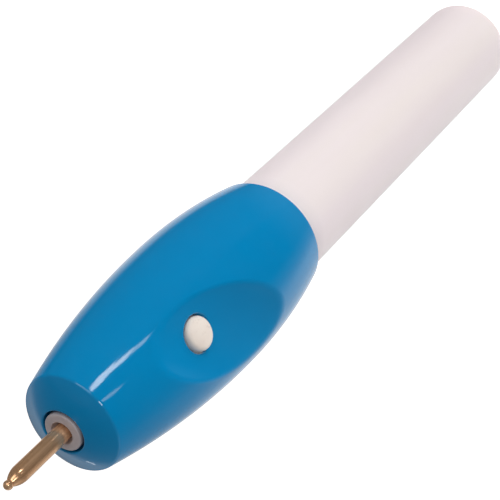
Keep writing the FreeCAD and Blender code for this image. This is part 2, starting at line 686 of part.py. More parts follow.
def aa_cell(name, low):
    pts = [
        ("0", low),
        ("cell_rad-0.5", low),
        ("cell_rad", low + "+0.5"),
        ("cell_rad", low + "+cell_len-0.6"),
        ("cell_rad-0.6", low + "+cell_len"),
        ("nub_rad", low + "+cell_len"),
        ("nub_rad", low + "+cell_len+nub_len-0.2"),
        ("nub_rad-0.2", low + "+cell_len+nub_len"),
        ("0", low + "+cell_len+nub_len"),
    ]
    return revolve(name + "_revolve", pts)


keep(aa_cell("cell_a", "cell_low"), "battery_rear")
keep(aa_cell("cell_b", "cell_low+cell_len+nub_len"), "battery_front")
plate = cyl("tail_plate_disc", "rib_in/2-0.1", "tube_floor", "tube_floor+plate_thick")
plate_ear = box("tail_plate_ear", "5", "8.9", "-1.8", "1.8", "tube_floor", "tube_floor+plate_thick")
keep(fuse("tail_plate_solid", plate, plate_ear), "tail_contact_plate")
keep(box("contact_strip_solid", "8.55", "8.85", "-1.8", "1.8", "tube_floor+plate_thick", "socket_end-0.3"), "contact_strip")


def spring_shape():
    """Compression spring between the tail plate and the rear cell: half turns, each climbing by half a pitch."""
    wire_r, rad = g("spring_wire"), g("spring_rad")
    low = g("tube_floor") + g("plate_thick") + wire_r
    high = g("cell_low") - wire_r
    halves = 8
    step = (high - low) / halves
    arcs = []
    for k in range(halves):
        side = 1 if k % 2 == 0 else -1
        a = V(side * rad, 0, low + k * step)
        b = V(-side * rad, 0, low + (k + 1) * step)
        top = (a + b) * 0.5 + V(0, side * (b - a).Length / 2, 0)
        arcs.append(Part.Arc(a, top, b).toShape())
    line = Part.Wire(arcs)
    ring = Part.Wire(Part.Circle(V(rad, 0, low), V(0, 1, 0), wire_r).toShape())
    coil = line.makePipeShell([ring], True, False)
    want = math.pi * wire_r ** 2 * line.Length
    if not coil.isValid() or abs(coil.Volume - want) > 0.02 * want:
        raise RuntimeError("the tail spring is not a clean coil")
    return coil


fixed("tail_spring", spring_shape())

# ================================================================ checks and export
doc.recompute()
for o in doc.Objects:
    if "Invalid" in o.State or "Error" in o.State:
        raise RuntimeError("failed object: " + o.Label)
labels = [n for n, _ in made]
if len(set(labels)) != len(labels):
    raise RuntimeError("two sub-parts share a name")
for name, o in made:
    sh = o.Shape
    if sh.isNull() or not sh.isValid() or not sh.Solids:
        raise RuntimeError("bad shape: " + name)

os.makedirs("parts", exist_ok=True)
for name, o in made:
    o.Shape.exportStep("parts/%s.step" % name)
    bb = o.Shape.optimalBoundingBox(True, False)
    print("%-24s solids %d vol %9.2f z %.2f..%.2f r<=%.2f" % (
        name, len(o.Shape.Solids), o.Shape.Volume, bb.ZMin, bb.ZMax,
        max(abs(bb.XMin), abs(bb.XMax), abs(bb.YMin), abs(bb.YMax))))
print("nodes", len(made))
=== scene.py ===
"""Looks for a battery engraving pen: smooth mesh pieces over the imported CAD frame, procedural materials, soft light."""
import json
import math

import bpy
from mathutils import Matrix, Vector
import numpy as np


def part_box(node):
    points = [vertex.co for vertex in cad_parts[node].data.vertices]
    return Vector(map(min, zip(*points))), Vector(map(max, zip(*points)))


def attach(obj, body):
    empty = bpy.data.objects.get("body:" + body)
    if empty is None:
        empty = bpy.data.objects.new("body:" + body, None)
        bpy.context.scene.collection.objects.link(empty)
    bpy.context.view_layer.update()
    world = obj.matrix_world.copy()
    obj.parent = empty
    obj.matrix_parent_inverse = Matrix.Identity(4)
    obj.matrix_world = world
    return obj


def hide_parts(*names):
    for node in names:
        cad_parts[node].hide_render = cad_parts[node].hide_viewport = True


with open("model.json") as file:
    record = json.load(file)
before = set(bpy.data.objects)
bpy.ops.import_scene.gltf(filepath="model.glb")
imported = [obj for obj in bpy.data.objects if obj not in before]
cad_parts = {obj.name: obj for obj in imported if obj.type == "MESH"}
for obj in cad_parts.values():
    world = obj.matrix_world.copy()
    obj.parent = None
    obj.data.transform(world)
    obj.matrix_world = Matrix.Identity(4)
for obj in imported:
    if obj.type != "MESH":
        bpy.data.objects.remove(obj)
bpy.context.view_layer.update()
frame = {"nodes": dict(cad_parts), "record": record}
scene = bpy.context.scene
MM = 0.001
rng = np.random.default_rng(7)

# ------------------------------------------------------------------ sizes, in millimetres
TUBE_R, TUBE_IN, TUBE_LEN, TUBE_FLOOR, TUBE_EDGE = 10.5, 9.2, 109.0, 1.6, 0.8
SPIGOT_R, RIB_IN, RIB_WIDE = 10.2, 7.6, 1.4
REAR_Z, BELLY_Z, BELLY_R, ARC_REAR, ARC_FRONT, NOSE_Z = 97.1, 119.5, 14.2, 112.0, 153.0, 158.5
RIM_FILLET, NOSE_FILLET, DOME_R = 0.7, 0.8, 16.4
SOCKET_R, SOCKET_Z, BULK_R, BULK_Z, BORE_R, BORE_Z = 10.26, 109.6, 10.2, 111.6, 9.2, 141.0
THROAT_R, THROAT_Z, NOSE_HOLE_R = 6.4, 156.4, 3.95
SCOOP_Z, SCOOP_DEPTH, SCOOP_R, SCOOP_AZ, SCOOP_TURN, SCOOP_LEAN = 131.0, 3.1, 22.0, 259.5, 45.0, 3.9
BTN_Z, BTN_R, BTN_TOP, BTN_GAP, FLANGE_R, FLANGE_TOP, FLANGE_T = 134.9, 3.0, 12.0, 0.35, 3.9, 9.5, 0.6
PLUNGER_R, PLUNGER_TIP = 1.2, 8.65
POCKET_HALF, POCKET_TOP, POCKET_LOW, POCKET_HIGH = 4.6, 9.6, 117.5, 140.6


# ------------------------------------------------------------------ mesh helpers
def make_object(name, verts, faces, smooth_angle=35.0):
    """A mesh piece from millimetre points; edges sharper than the angle stay crisp."""
    me = bpy.data.meshes.new(name)
    me.from_pydata([(float(x) * MM, float(y) * MM, float(z) * MM) for x, y, z in verts], [], [list(map(int, f)) for f in faces])
    me.validate(clean_customdata=True)
    me.update()
    import bmesh
    bm = bmesh.new()
    bm.from_mesh(me)
    bmesh.ops.remove_doubles(bm, verts=bm.verts, dist=1e-8)
    bmesh.ops.recalc_face_normals(bm, faces=bm.faces)
    limit = math.radians(smooth_angle)
    for f in bm.faces:
        f.smooth = True
    for e in bm.edges:
        if len(e.link_faces) == 2 and e.calc_face_angle(0.0) > limit:
            e.smooth = False
    bm.to_mesh(me)
    bm.free()
    me.update()
    ob = bpy.data.objects.new(name, me)
    scene.collection.objects.link(ob)
    return ob


def arc_pts(cx, cy, r, a0, a1, n):
    """Points on an arc, in degrees, both ends kept."""
    return [(cx + r * math.cos(math.radians(a0 + (a1 - a0) * k / n)),
             cy + r * math.sin(math.radians(a0 + (a1 - a0) * k / n))) for k in range(n + 1)]


def lathe(name, profile, seg=128, closed=False, axis="z", **kw):
    """Turned piece from (radius, height) points. Points on the axis become poles."""
    verts, rows = [], []
    for r, h in profile:
        if r < 1e-6:
            rows.append([len(verts)])
            verts.append((0.0, 0.0, h))
        else:
            rows.append(list(range(len(verts), len(verts) + seg)))
            for k in range(seg):
                t = 2 * math.pi * k / seg
                verts.append((r * math.cos(t), r * math.sin(t), h))
    faces = []
    pairs = list(zip(rows[:-1], rows[1:])) + ([(rows[-1], rows[0])] if closed else [])
    for a, b in pairs:
        for k in range(seg):
            k2 = (k + 1) % seg
            if len(a) == 1 and len(b) == 1:
                continue
            if len(a) == 1:
                faces.append((a[0], b[k], b[k2]))
            elif len(b) == 1:
                faces.append((a[k], b[0], a[k2]))
            else:
                faces.append((a[k], b[k], b[k2], a[k2]))
    if axis == "-y":
        verts = [(x, -z, y + BTN_Z) for x, y, z in verts]
    return make_object(name, verts, faces, **kw)


# ------------------------------------------------------------------ grip skin with its scoop
def barrel(z):
    z = np.asarray(z, float)
    arc = np.where(z > BELLY_Z, ARC_FRONT, ARC_REAR)
    return BELLY_R - arc + np.sqrt(arc * arc - (z - BELLY_Z) ** 2)


_az, _ln, _tw = (math.radians(v) for v in (SCOOP_AZ, SCOOP_LEAN, SCOOP_TURN))
_er = np.array([math.cos(_az), math.sin(_az), 0.0])
_et = np.array([-math.sin(_az), math.cos(_az), 0.0])
_ez = np.array([0.0, 0.0, 1.0])
_nrm = _er * math.cos(_ln) + _ez * math.sin(_ln)
_up = _ez * math.cos(_ln) - _er * math.sin(_ln)
_axis = _up * math.cos(_tw) + _et * math.sin(_tw)
_cen = _er * (float(barrel(SCOOP_Z)) - SCOOP_DEPTH) + _ez * SCOOP_Z + _nrm * SCOOP_R


def scoop_reach(th, z):
    """Distance from the pen's axis, level and in direction th, at which the scoop's wall is met."""
    d = np.stack([np.cos(th), np.sin(th), np.zeros_like(th)], -1)
    p = np.stack([np.zeros_like(th), np.zeros_like(th), z], -1) - _cen
    dd = d - (d @ _axis)[..., None] * _axis
    pp = p - (p @ _axis)[..., None] * _axis
    a = (dd * dd).sum(-1)
    b = 2 * (dd * pp).sum(-1)
    c = (pp * pp).sum(-1) - SCOOP_R ** 2
    disc = b * b - 4 * a * c
    ok = (disc > 0) & (a > 1e-9)
    root = np.where(ok, (-b - np.sqrt(np.where(ok, disc, 0))) / (2 * np.where(a > 1e-9, a, 1)), 1e3)
    return np.where(ok & (root > 0), root, 1e3)


def soft_min(a, b, k):
    """Smaller of two heights, with the crease rounded over about k."""
    h = np.clip(0.5 + 0.5 * (b - a) / k, 0, 1)
    return b * (1 - h) + a * h - k * h * (1 - h)


SCOOP_ROUND = 0.42
HOLE_R = BTN_R + BTN_GAP
HOLE_ROUND = 0.22


def outer_radius(th, z, base):
    """Grip skin: the barrel, less the scoop, with the button hole's rim rounded."""
    r = soft_min(base, scoop_reach(th, z), SCOOP_ROUND)
    x, y = r * np.cos(th), r * np.sin(th)
    rho = np.hypot(x, z - BTN_Z)
    e = HOLE_ROUND
    q = np.clip(e - (rho - HOLE_R), 0, e)
    drop = np.where((rho < HOLE_R + e) & (y < 0), e - np.sqrt(np.maximum(e * e - q * q, 0)), 0)
    return r - drop


def spaced(lo, hi, coarse, fine, centre, half):
    """Stations from lo to hi, close together within half of the centre."""
    out = [lo]
    while out[-1] < hi - 1e-9:
        d = abs(out[-1] - centre)
        w = min(max((d - half) / (half * 0.8), 0), 1)
        out.append(out[-1] + fine + (coarse - fine) * w)
    out = np.array(out)
    return lo + (out - lo) * (hi - lo) / (out[-1] - lo)


def grip_mesh():
    # columns: close together where the button is (azimuth -90 degrees), wide elsewhere
    half = math.degrees(4.3 / 10.8)
    th = spaced(-270.0, 90.0, 1.0, 0.36, -90.0, half)
    pocket_a = math.degrees(math.asin(POCKET_HALF / BORE_R))
    pocket_b = math.degrees(math.atan(POCKET_HALF / POCKET_TOP))
    for want in (-90 - pocket_a, -90 - pocket_b, -90 + pocket_b, -90 + pocket_a):
        th[np.argmin(abs(th - want))] = want
    th = np.radians(th[:-1])
    n = len(th)
    # rows: (radius, z, kind); kind 0 plain turned, 1 barrel with scoop, 2 bore with the switch pocket
    rows = []
    s = 0.12
    rows += [(r, z, 0) for r, z in arc_pts(SOCKET_R + s, REAR_Z + s, s, 180, 270, 4)]
    cr, cz = BELLY_R - ARC_REAR, REAR_Z + RIM_FILLET
    rc = cr + math.sqrt((ARC_REAR - RIM_FILLET) ** 2 - (cz - BELLY_Z) ** 2)
    a_end = math.degrees(math.atan2(cz - BELLY_Z, rc - cr))
    rear_arc = arc_pts(rc, cz, RIM_FILLET, -90, a_end, 10)
    rows += [(rc * 0.35 + SOCKET_R * 0.65, REAR_Z, 0), (rc * 0.7 + SOCKET_R * 0.3, REAR_Z, 0)]
    rows += [(r, z, 0) for r, z in rear_arc]
    z0 = rear_arc[-1][1]
    nr = BELLY_R - ARC_FRONT
    nose_r = nr + math.sqrt(ARC_FRONT ** 2 - (NOSE_Z - BELLY_Z) ** 2)
    dome_z = NOSE_Z - math.sqrt(DOME_R ** 2 - nose_r ** 2)
    # centre of the edge rounding: inside both the barrel arc and the dome by the same radius
    nrc, nzc = nose_r - NOSE_FILLET, NOSE_Z - NOSE_FILLET
    for _ in range(60):
        for c_r, c_z, rad in ((nr, BELLY_Z, ARC_FRONT), (0.0, dome_z, DOME_R)):
            d = math.hypot(nrc - c_r, nzc - c_z)
            k = (rad - NOSE_FILLET) / d
            nrc, nzc = c_r + (nrc - c_r) * k, c_z + (nzc - c_z) * k
    a_start = math.degrees(math.atan2(nzc - BELLY_Z, nrc - nr))
    a_dome = math.degrees(math.atan2(nzc - dome_z, nrc))
    nose_arc = arc_pts(nrc, nzc, NOSE_FILLET, a_start, a_dome, 10)
    z1 = nose_arc[0][1]
    zs = spaced(z0, z1, 0.24, 0.07, BTN_Z, 4.3)
    rows += [(None, z, 1) for z in zs[1:-1]]
    rows += [(r, z, 0) for r, z in nose_arc]
    lip = 0.22
    lip_r = NOSE_HOLE_R + lip
    lip_z = dome_z + math.sqrt((DOME_R - lip) ** 2 - lip_r ** 2)
    a_lip = math.degrees(math.atan2(lip_z - dome_z, lip_r))
    rows += [(r, z, 0) for r, z in arc_pts(0.0, dome_z, DOME_R, a_dome, a_lip, 16)[1:-1]]
    rows += [(r, z, 0) for r, z in arc_pts(lip_r, lip_z, lip, a_lip, 180, 6)]
    rows += [(NOSE_HOLE_R, THROAT_Z + 1.5, 0), (NOSE_HOLE_R, THROAT_Z, 0), (THROAT_R, THROAT_Z, 0)]
    rows += [(THROAT_R + (BORE_R - THROAT_R) * k / 6, THROAT_Z + (BORE_Z - THROAT_Z) * k / 6, 0) for k in range(1, 7)]
    rows += [(BORE_R, POCKET_HIGH + 1e-4, 0)]
    hole_zs = [POCKET_HIGH] + list(np.arange(POCKET_HIGH - 0.4, BTN_Z + 4.2, -0.4)) + \
        list(np.arange(BTN_Z + 4.0, BTN_Z - 4.05, -0.16)) + list(np.arange(BTN_Z - 4.4, POCKET_LOW + 0.3, -0.6)) + [POCKET_LOW]
    rows += [(None, z, 2) for z in hole_zs]
    rows += [(BORE_R, POCKET_LOW - 1e-4, 0), (BORE_R, 114.5, 0), (BORE_R, BULK_Z, 0), (BULK_R, BULK_Z, 0),
             (BULK_R, SOCKET_Z, 0), (SOCKET_R, SOCKET_Z, 0), (SOCKET_R, 105.0, 0), (SOCKET_R, 100.5, 0)]
    R = np.zeros((len(rows), n))
    Z = np.zeros((len(rows), n))
    inner = np.zeros(len(rows), bool)
    for i, (r, z, kind) in enumerate(rows):
        Z[i] = z
        if kind == 0:
            R[i] = r
        elif kind == 1:
            R[i] = outer_radius(th, np.full(n, z), float(barrel(z)))
        else:
            inner[i] = True
            a = th + math.pi / 2
            inside = (np.abs(a) < math.radians(pocket_b) + 1e-6)
            R[i] = np.where(inside, POCKET_TOP / np.maximum(np.cos(a), 0.2), BORE_R)
    X, Y = R * np.cos(th), R * np.sin(th)
    verts = list(zip(X.ravel(), Y.ravel(), Z.ravel()))
    rho = np.hypot(X, Z - BTN_Z)
    is_outer = np.array([k == 1 for _, _, k in rows])
    cut_rows = is_outer | inner
    cutme = (rho < HOLE_R) & (Y < 0) & cut_rows[:, None]
    faces = []
    idx = np.arange(len(rows) * n).reshape(len(rows), n)
    loops = {0: {}, 1: {}}
    made = {}

    def crossing(i, j, which):
        """Point on the edge from kept corner i to cut corner j that lies on the hole's circle."""
        key = (min(i, j), max(i, j))
        if key not in made:
            p, q = np.array(verts[i]), np.array(verts[j])
            t0, t1 = 0.0, 1.0
            for _ in range(30):
                t = (t0 + t1) / 2
                m = p + (q - p) * t
                if math.hypot(m[0], m[2] - BTN_Z) > HOLE_R:
                    t0 = t
                else:
                    t1 = t
            m = p + (q - p) * t0
            made[key] = len(verts)
            verts.append(tuple(m))
            loops[which][made[key]] = math.atan2(m[2] - BTN_Z, m[0])
        return made[key]

    m = len(rows)
    flat = cutme.ravel()
    for i in range(m):
        i2 = (i + 1) % m
        row_cut = cutme[i] | cutme[i2]
        for k in range(n):
            k2 = (k + 1) % n
            quad = (idx[i, k], idx[i2, k], idx[i2, k2], idx[i, k2])
            if not (row_cut[k] or row_cut[k2]):
                faces.append(quad)
                continue
            state = [flat[v] for v in quad]
            if not any(state):
                faces.append(quad)
                continue
            if all(state):
                continue
            which = 0 if is_outer[i] or is_outer[i2] else 1
            poly = []
            for a in range(4):
                va, vb = quad[a], quad[(a + 1) % 4]
                if not flat[va]:
                    poly.append(va)
                    if flat[vb]:
                        poly.append(crossing(va, vb, which))
                elif not flat[vb]:
                    poly.append(crossing(vb, va, which))
            faces.append(tuple(poly))
    # the hole's wall, from the skin's loop to the pocket roof's loop
    ring_a = [v for v, _ in sorted(loops[0].items(), key=lambda t: t[1])]
    ring_b = [v for v, _ in sorted(loops[1].items(), key=lambda t: t[1])]
    ang = {**loops[0], **loops[1]}
    ia = ib = 0
    na, nb = len(ring_a), len(ring_b)
    while ia < na or ib < nb:
        a, b = ring_a[ia % na], ring_b[ib % nb]
        a2, b2 = ring_a[(ia + 1) % na], ring_b[(ib + 1) % nb]
        next_a = ang[a2] + (2 * math.pi if ia + 1 >= na else 0)
        next_b = ang[b2] + (2 * math.pi if ib + 1 >= nb else 0)
        if ib >= nb or (ia < na and next_a <= next_b):
            faces.append((a, a2, b))
            ia += 1
        else:
            faces.append((a, b2, b))
            ib += 1
    return verts, faces


gv, gf = grip_mesh()
used = sorted({v for f in gf for v in f})
remap = {v: i for i, v in enumerate(used)}
grip = make_object("grip_skin", [gv[v] for v in used], [tuple(remap[v] for v in f) for f in gf], smooth_angle=38)
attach(grip, "grip")
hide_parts("grip_shell")

# ------------------------------------------------------------------ push button: crowned cap, flange and plunger
prof = [(0.0, PLUNGER_TIP)]
prof += [(r, h) for r, h in arc_pts(PLUNGER_R - 0.25, PLUNGER_TIP + 0.25, 0.25, -90, 0, 4)]
prof += [(PLUNGER_R, FLANGE_TOP - FLANGE_T), (FLANGE_R - 0.1, FLANGE_TOP - FLANGE_T), (FLANGE_R, FLANGE_TOP - FLANGE_T + 0.1),
         (FLANGE_R, FLANGE_TOP - 0.1), (FLANGE_R - 0.1, FLANGE_TOP), (BTN_R + 0.1, FLANGE_TOP), (BTN_R, FLANGE_TOP + 0.1)]
crown, edge = 0.3, 0.9
turn_end = 75.7
edge_h = BTN_TOP - crown - edge * math.sin(math.radians(turn_end))
prof += [(BTN_R, FLANGE_TOP + 0.6), (BTN_R, edge_h - 0.05)]
prof += [(r, h) for r, h in arc_pts(BTN_R - edge, edge_h, edge, 0, turn_end, 14)]
r_e = prof[-1][0]
prof += [(r_e * math.cos(math.pi / 2 * k / 14), BTN_TOP - crown * math.cos(math.pi / 2 * k / 14) ** 2) for k in range(1, 15)]
prof = [(0.0 if r < 1e-5 else r, h) for r, h in prof]
button = lathe("button_cap", prof, seg=144, axis="-y", smooth_angle=40)
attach(button, "button")
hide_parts("push_button")

# ------------------------------------------------------------------ battery tube with ribs, spigot and rounded edges
def tube_mesh():
    seg = 240
    th = np.linspace(0, 2 * math.pi, seg, endpoint=False)
    prof = [(0.0, 0.0), (4.0, 0.0), (8.0, 0.0)]
    prof += arc_pts(TUBE_R - TUBE_EDGE, TUBE_EDGE, TUBE_EDGE, -90, 0, 9)
    prof += [(TUBE_R, z) for z in np.arange(4.0, 95.0, 4.0)]
    prof += [(TUBE_R, REAR_Z - 0.12), (TUBE_R - 0.1, REAR_Z), (SPIGOT_R, REAR_Z), (SPIGOT_R, 103.0), (SPIGOT_R, TUBE_LEN - 0.3),
             (SPIGOT_R - 0.3, TUBE_LEN), (TUBE_IN + 0.15, TUBE_LEN)]
    inner_low = len(prof)
    rib_top = TUBE_LEN - 1.5
    prof += [(TUBE_IN, TUBE_LEN - 0.15), (TUBE_IN, rib_top + 1e-3), (-1, rib_top), (-1, 70.0), (-1, 36.0), (-1, TUBE_FLOOR), (0.0, TUBE_FLOOR)]
    # four ribs along the bore: columns are placed on each rib's sides
    cols = list(th)
    half_o = math.asin(RIB_WIDE / 2 / TUBE_IN)
    half_i = math.asin(RIB_WIDE / 2 / RIB_IN)
    for c in (45, 135, 225, 315):
        for d in (-half_i, -half_o, half_o, half_i):
            cols.append(math.radians(c) + d)
    cols = np.array(sorted(cols))
    n = len(cols)

    def bore(a):
        k = (math.degrees(a) - 45) % 90
        k = math.radians(min(k, 90 - k))
        return RIB_IN / math.cos(0) if k < half_o + 1e-6 else TUBE_IN
    verts, rows = [], []
    for r, z in prof:
        if abs(r) < 1e-9:
            rows.append([len(verts)])
            verts.append((0, 0, z))
            continue
        rows.append(list(range(len(verts), len(verts) + n)))
        for a in cols:
            rr = bore(a) if r < 0 else r
            verts.append((rr * math.cos(a), rr * math.sin(a), z))
    faces = []
    for a, b in zip(rows[:-1], rows[1:]):
        for k in range(n):
            k2 = (k + 1) % n
            if len(a) == 1:
                faces.append((a[0], b[k2], b[k]))
            elif len(b) == 1:
                faces.append((a[k], a[k2], b[0]))
            else:
                faces.append((a[k], a[k2], b[k2], b[k]))
    return verts, faces


tube = make_object("tube_shell", *tube_mesh(), smooth_angle=40)
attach(tube, "battery_tube")
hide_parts("battery_tube")

# ------------------------------------------------------------------ chuck collar
C_LOW, C_STEP, C_FRONT, C_R, C_BODY = 146.0, 154.6, 161.0, 3.5, 4.9
BORE, MOUTH_R, MOUTH_D, SEAT = 1.54, 2.0, 0.8, 151.0
prof = [(1.0, C_LOW), (C_BODY - 0.3, C_LOW), (C_BODY, C_LOW + 0.3), (C_BODY, C_STEP - 0.3), (C_BODY - 0.3, C_STEP), (C_R + 0.15, C_STEP),
        (C_R, C_STEP + 0.15), (C_R, C_FRONT - 1.6), (C_R, C_FRONT - 0.5)]
prof += arc_pts(C_R - 0.35, C_FRONT - 0.35, 0.35, 0, 82, 8)
prof += arc_pts(MOUTH_R + 0.2, C_FRONT + 0.12 - 0.2, 0.2, 82, 170, 6)
prof += [(BORE + 0.02, C_FRONT - MOUTH_D), (BORE, C_FRONT - MOUTH_D - 0.06), (BORE, SEAT), (1.0, SEAT)]
chuck = lathe("chuck_collar", prof, seg=128, closed=True, smooth_angle=40)
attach(chuck, "rotor")
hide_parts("chuck")

# ------------------------------------------------------------------ engraving bit: shank, ogive, neck and ball
bit_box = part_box("engraving_bit")
B_R, OG_LOW, OG_HIGH, NECK_R, BALL_R, BALL_Z = 1.5, 171.4, 174.0, 0.57, 0.8, 174.5
b0 = bit_box[0].z / MM
prof = [(0.0, b0), (B_R - 0.25, b0), (B_R, b0 + 0.25)]
prof += [(B_R, z) for z in np.arange(b0 + 1.0, OG_LOW - 0.4, 1.0)] + [(B_R, OG_LOW)]
og_rad = 4.6
og_c = B_R - og_rad
for k in range(1, 15):
    z = OG_LOW + (OG_HIGH - OG_LOW) * k / 14
    r = og_c + math.sqrt(og_rad ** 2 - (z - OG_LOW) ** 2)
    prof.append((max(r, NECK_R), z))
a0 = -math.degrees(math.acos(NECK_R / BALL_R))
prof += [(r, z) for r, z in arc_pts(0, BALL_Z, BALL_R, a0 + 4, 90, 18)]
prof = [(0.0 if r < 1e-5 else r, z) for r, z in prof]
bit = lathe("bit_tool", prof, seg=96, smooth_angle=32)
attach(bit, "bit")
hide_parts("engraving_bit")


# ------------------------------------------------------------------ materials
def srgb(r, g, b):
    def lin(c):
        c /= 255.0
        return c / 12.92 if c <= 0.04045 else ((c + 0.055) / 1.055) ** 2.4
    return (lin(r), lin(g), lin(b), 1.0)


class Mat:
    """Small node builder around one Principled shader."""

    def __init__(self, name, **sockets):
        self.m = bpy.data.materials.new(name)
        self.m.use_nodes = True
        self.t = self.m.node_tree
        self.t.nodes.clear()
        self.out = self.t.nodes.new("ShaderNodeOutputMaterial")
        self.p = self.t.nodes.new("ShaderNodeBsdfPrincipled")
        self.t.links.new(self.p.outputs[0], self.out.inputs[0])
        for k, v in sockets.items():
            self.p.inputs[k.replace("_", " ")].default_value = v
        self.co = self.t.nodes.new("ShaderNodeTexCoord").outputs["Object"]
        self.normal = None

    def n(self, kind, **kw):
        node = self.t.nodes.new(kind)
        for k, v in kw.items():
            if k.startswith("i_"):
                node.inputs[k[2:].replace("_", " ")].default_value = v
            else:
                setattr(node, k, v)
        return node

    def link(self, a, b):
        self.t.links.new(a, b)

    def stretch(self, x, y, z):
        mp = self.n("ShaderNodeMapping")
        mp.inputs["Scale"].default_value = (x, y, z)
        self.link(self.co, mp.inputs["Vector"])
        return mp.outputs["Vector"]

    def noise(self, scale, detail=3.0, rough=0.55, vec=None, distort=0.0):
        nd = self.n("ShaderNodeTexNoise", i_Scale=scale, i_Detail=detail, i_Roughness=rough, i_Distortion=distort)
        self.link(vec or self.co, nd.inputs["Vector"])
        return nd.outputs["Fac"]

    def ramp(self, fac, *stops):
        r = self.n("ShaderNodeValToRGB")
        el = r.color_ramp.elements
        while len(el) < len(stops):
            el.new(0.5)
        for e, (pos, col) in zip(el, stops):
            e.position = pos
            e.color = col
        self.link(fac, r.inputs["Fac"])
        return r.outputs["Color"]

    def span(self, fac, lo, hi, a=0.3, b=0.7):
        mr = self.n("ShaderNodeMapRange")
        mr.inputs["From Min"].default_value = a
        mr.inputs["From Max"].default_value = b
        mr.inputs["To Min"].default_value = lo
        mr.inputs["To Max"].default_value = hi
        self.link(fac, mr.inputs["Value"])
        return mr.outputs["Result"]

    def mix(self, fac, a, b, kind="MIX"):
        mx = self.n("ShaderNodeMix", data_type="RGBA", blend_type=kind)
        for value, socket in ((fac, mx.inputs[0]), (a, mx.inputs[6]), (b, mx.inputs[7])):
            if isinstance(value, (tuple, float, int)):
                socket.default_value = value
            else:
                self.link(value, socket)
        return mx.outputs[2]

    def color(self, c):
        self.link(c, self.p.inputs["Base Color"])

    def rough(self, v):
        self.link(v, self.p.inputs["Roughness"])

    def bump(self, height, strength, dist):
        b = self.n("ShaderNodeBump", i_Strength=strength, i_Distance=dist)
        self.link(height, b.inputs["Height"])
        if self.normal is not None:
            self.link(self.normal, b.inputs["Normal"])
        self.normal = b.outputs["Normal"]
        self.link(self.normal, self.p.inputs["Normal"])

    def axis(self, which):
        sep = self.n("ShaderNodeSeparateXYZ")
        self.link(self.co, sep.inputs[0])
        return sep.outputs[which]


def plastic(name, col_a, col_b, rough_lo, rough_hi, scale=60.0, coat=0.0, peel=0.25, spec=0.5, speck=None):
    """Moulded plastic: slow tone drift, faint flow marks, orange peel and rubbed patches in its gloss."""
    m = Mat(name)
    m.p.inputs["Specular IOR Level"].default_value = spec
    if coat:
        m.p.inputs["Coat Weight"].default_value = coat
        m.p.inputs["Coat Roughness"].default_value = 0.08
    flow = m.noise(scale, 4.0, 0.55, m.stretch(1, 1, 0.35), 0.4)
    c = m.ramp(flow, (0.3, col_a), (0.7, col_b))
    if speck:
        dust = m.noise(2600.0, 2.0, 0.6)
        c = m.mix(m.span(dust, 0.0, 0.5, 0.68, 0.8), c, speck)
    m.color(c)
    m.rough(m.span(m.noise(scale * 4, 5.0, 0.6), rough_lo, rough_hi, 0.35, 0.68))
    m.bump(m.noise(900.0, 2.0, 0.5), peel, 0.00002)
    m.bump(m.noise(9000.0, 3.0, 0.6), peel * 0.5, 0.000004)
    return m


def metal(name, col_a, col_b, rough_lo, rough_hi, rings=0.0, tarnish=None, grain=(1, 1, 1), aniso=0.0, marks=0.3):
    """Bare metal: drift in tone, fine directional scratches and optional turning marks."""
    m = Mat(name, Metallic=1.0)
    if aniso:
        m.p.inputs["Anisotropic"].default_value = aniso
    c = m.ramp(m.noise(350.0, 5.0, 0.6), (0.32, col_a), (0.68, col_b))
    if tarnish:
        c = m.mix(m.span(m.noise(520.0, 6.0, 0.65), 0.0, 0.85, 0.52, 0.72), c, tarnish)
    m.color(c)
    scratch = m.noise(5200.0, 3.0, 0.7, m.stretch(*grain))
    m.rough(m.span(scratch, rough_lo, rough_hi, 0.3, 0.7))
    m.bump(scratch, marks, 0.000004)
    if rings:
        w = m.n("ShaderNodeTexWave", wave_type="BANDS", bands_direction="Z")
        w.inputs["Scale"].default_value = rings
        w.inputs["Distortion"].default_value = 0.6
        w.inputs["Detail"].default_value = 2.0
        m.link(m.co, w.inputs["Vector"])
        m.bump(w.outputs["Fac"], marks * 0.7, 0.000006)
    return m


def set_mat(ob, m):
    m = m.m if isinstance(m, Mat) else m
    ob.data.materials.clear()
    ob.data.materials.append(m)


# grip: glossy saturated blue
blue = plastic("m_grip_blue", srgb(0, 129, 186), srgb(3, 137, 194), 0.05, 0.1, 45.0, coat=0.0, peel=0.05, spec=0.45)
set_mat(grip, blue)

# tube: white with a faint pink cast and a slightly yellowed streak along it
white = Mat("m_tube_white")
white.p.inputs["Specular IOR Level"].default_value = 0.45
flow = white.noise(38.0, 4.0, 0.55, white.stretch(1.6, 1.6, 0.22), 0.5)
c = white.ramp(flow, (0.3, srgb(246, 233, 235)), (0.7, srgb(250, 239, 241)))
c = white.mix(white.span(white.noise(24.0, 3.0, 0.5, white.stretch(2.2, 2.2, 0.15)), 0.0, 0.35, 0.52, 0.7), c, srgb(246, 238, 224))
white.color(c)
white.rough(white.span(white.noise(170.0, 5.0, 0.6), 0.32, 0.46, 0.35, 0.68))
white.bump(white.noise(700.0, 2.0, 0.5), 0.12, 0.00002)
white.bump(white.noise(8000.0, 3.0, 0.6), 0.08, 0.000004)
set_mat(tube, white)

cap = plastic("m_button_white", srgb(243, 228, 216), srgb(250, 239, 228), 0.26, 0.38, 260.0, peel=0.12, spec=0.5,
              speck=srgb(228, 214, 200))
set_mat(button, cap)
set_mat(chuck, plastic("m_chuck_grey", srgb(178, 168, 170), srgb(198, 188, 190), 0.32, 0.46, 420.0, peel=0.2, spec=0.5,
                       speck=srgb(160, 142, 132)))
